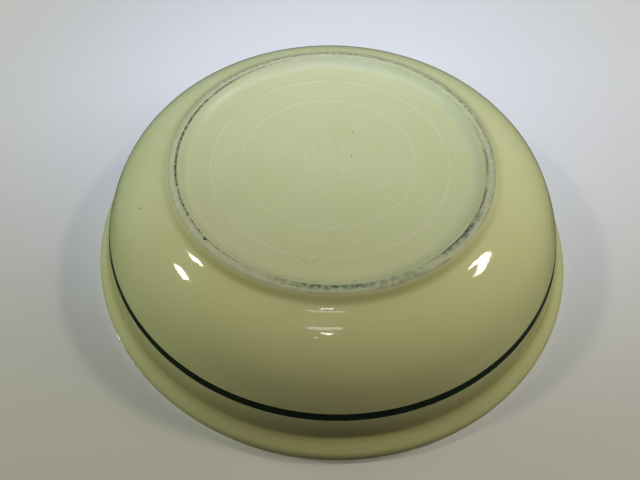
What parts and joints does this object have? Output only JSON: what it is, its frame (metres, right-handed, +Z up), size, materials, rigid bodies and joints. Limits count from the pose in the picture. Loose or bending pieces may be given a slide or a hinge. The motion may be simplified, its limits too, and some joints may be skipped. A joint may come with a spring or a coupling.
{
  "type": "serving bowl",
  "caption": "Low, broad serving bowl in thick cream-glazed stoneware, with a rolled rim, a painted green line and a bare foot ring; holds and serves food.",
  "frame": {"origin": "centre of the foot ring's flat resting face", "axes": "+Z up along the bowl's axis, out of its open mouth; X and Y level, in the resting plane"},
  "size_m": [0.33, 0.33, 0.078],
  "materials": {
    "bare_stoneware": "unglazed fired buff clay, ground flat and a little grimy on the foot ring",
    "outside_glaze": "clear gloss glaze over pale yellow slip, pooled ochre in the channels",
    "inside_glaze": "clear gloss glaze over pale yellow slip",
    "recess_glaze": "thin semi-gloss glaze over low moulded relief",
    "green_underglaze": "dark green painted line under the gloss glaze"
  },
  "bodies": {
    "root": {"clay_body": "bare_stoneware", "outside_glaze": "outside_glaze", "inside_glaze": "inside_glaze", "recess_glaze": "recess_glaze", "green_band": "green_underglaze"}
  },
  "joints": []
}
